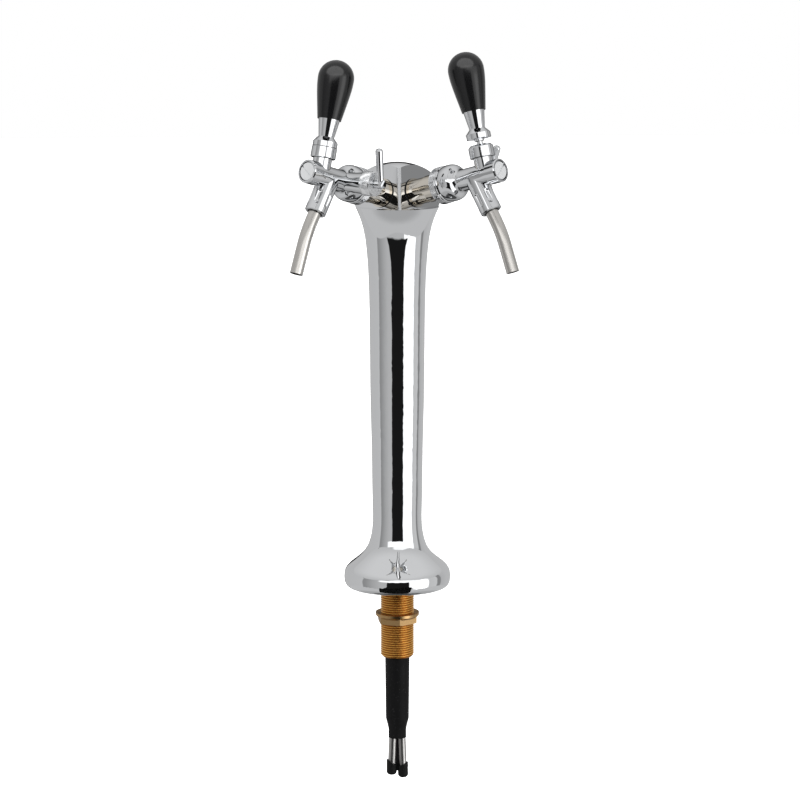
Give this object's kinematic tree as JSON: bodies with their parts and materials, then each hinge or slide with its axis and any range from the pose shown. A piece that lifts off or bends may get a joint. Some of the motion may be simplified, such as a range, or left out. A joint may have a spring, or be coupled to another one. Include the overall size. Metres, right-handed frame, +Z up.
{
  "type": "beer tower dispenser",
  "caption": "Counter-top drink tower: flared, waisted column with a domed head, angled lever taps with flow levers and curved spouts, a threaded fixing shank, lock nut and feed lines.",
  "frame": {"origin": "centre of the foot's flat sole, where it stands on the counter", "axes": "+Z up the column, -Y towards the drinker's side between the taps, +X towards the right tap as seen from the front"},
  "size_m": [0.217, 0.1615, 0.7302],
  "materials": {
    "column_chrome": "mirror-polished chrome plate",
    "tap_chrome": "polished chrome plate",
    "shank_nickel": "satin nickel plate",
    "spout_steel": "brushed stainless tube",
    "line_steel": "drawn stainless tube",
    "shank_brass": "machined thread, bright",
    "nut_brass": "machined, slightly dulled",
    "inner_brass": "machined",
    "knob_black": "satin black moulding",
    "cap_rubber": "matte black",
    "sleeve_foam": "matte black foam skin",
    "seal_rubber": "matte black",
    "cone_plastic": "plain moulding"
  },
  "bodies": {
    "tower": {"tower_column": "column_chrome", "base_seal": "seal_rubber", "threaded_shank": "shank_brass", "insulation_sleeve": "sleeve_foam", "beer_line_left": "line_steel", "line_cap_left": "cap_rubber", "beer_line_right": "line_steel", "line_cap_right": "cap_rubber", "tap_shank_left": "shank_nickel", "shank_seal_left": "seal_rubber", "shank_backnut_left": "inner_brass", "coupling_nut_left": "tap_chrome", "coupling_seal_left": "seal_rubber", "faucet_body_left": "tap_chrome", "spout_left": "spout_steel", "spout_seal_left": "seal_rubber", "compensator_gland_left": "tap_chrome", "ball_washer_left": "inner_brass", "bonnet_nut_left": "tap_chrome", "front_plug_left": "tap_chrome", "tap_shank_right": "shank_nickel", "shank_seal_right": "seal_rubber", "shank_backnut_right": "inner_brass", "coupling_nut_right": "tap_chrome", "coupling_seal_right": "seal_rubber", "faucet_body_right": "tap_chrome", "spout_right": "spout_steel", "spout_seal_right": "seal_rubber", "compensator_gland_right": "tap_chrome", "ball_washer_right": "inner_brass", "bonnet_nut_right": "tap_chrome", "front_plug_right": "tap_chrome"},
    "fixing_nut": {"lock_nut": "nut_brass"},
    "handle_left": {"lever_stem_left": "tap_chrome", "rosette_left": "tap_chrome", "ferrule_left": "tap_chrome", "knob_left": "knob_black"},
    "valve_left": {"piston_left": "inner_brass", "piston_seal_left": "seal_rubber", "piston_o_ring_left": "seal_rubber"},
    "flow_lever_left": {"compensator_lever_left": "tap_chrome"},
    "cone_left": {"flow_cone_left": "cone_plastic"},
    "handle_right": {"lever_stem_right": "tap_chrome", "rosette_right": "tap_chrome", "ferrule_right": "tap_chrome", "knob_right": "knob_black"},
    "valve_right": {"piston_right": "inner_brass", "piston_seal_right": "seal_rubber", "piston_o_ring_right": "seal_rubber"},
    "flow_lever_right": {"compensator_lever_right": "tap_chrome"},
    "cone_right": {"flow_cone_right": "cone_plastic"}
  },
  "joints": [
    {"name": "nut_travel", "type": "slide", "parent": "tower", "child": "fixing_nut", "axis": [0, 0, 1], "range_m": [-0.03, 0.024]},
    {"name": "handle_tilt_left", "type": "hinge", "parent": "tower", "child": "handle_left", "pos_m": [-0.07582, -0.07582, 0.43178], "axis": [0.7071, -0.7071, 0], "range_deg": [0, 22]},
    {"name": "valve_travel_left", "type": "slide", "parent": "tower", "child": "valve_left", "axis": [-0.6852, -0.6852, 0.247], "range_m": [-0.0046, 0]},
    {"name": "lever_turn_left", "type": "hinge", "parent": "tower", "child": "flow_lever_left", "pos_m": [-0.05464, -0.05464, 0.40763], "axis": [0.7071, -0.7071, 0], "range_deg": [-63, 27]},
    {"name": "cone_travel_left", "type": "slide", "parent": "tower", "child": "cone_left", "axis": [-0.6852, -0.6852, 0.247], "range_m": [-0.00086, 0.00193]},
    {"name": "handle_tilt_right", "type": "hinge", "parent": "tower", "child": "handle_right", "pos_m": [0.07582, -0.07582, 0.43178], "axis": [0.7071, 0.7071, 0], "range_deg": [0, 22]},
    {"name": "valve_travel_right", "type": "slide", "parent": "tower", "child": "valve_right", "axis": [0.6852, -0.6852, 0.247], "range_m": [-0.0046, 0]},
    {"name": "lever_turn_right", "type": "hinge", "parent": "tower", "child": "flow_lever_right", "pos_m": [0.05464, -0.05464, 0.40763], "axis": [0.7071, 0.7071, 0], "range_deg": [-78, 12]},
    {"name": "cone_travel_right", "type": "slide", "parent": "tower", "child": "cone_right", "axis": [0.6852, -0.6852, 0.247], "range_m": [-0.00041, 0.00238]}
  ],
  "couplings": [
    {"joint": "valve_travel_left", "follows": "handle_tilt_left", "m_per_rad": -0.0115},
    {"joint": "cone_travel_left", "follows": "lever_turn_left", "m_per_rad": -0.00171},
    {"joint": "valve_travel_right", "follows": "handle_tilt_right", "m_per_rad": -0.0115},
    {"joint": "cone_travel_right", "follows": "lever_turn_right", "m_per_rad": -0.00171}
  ]
}
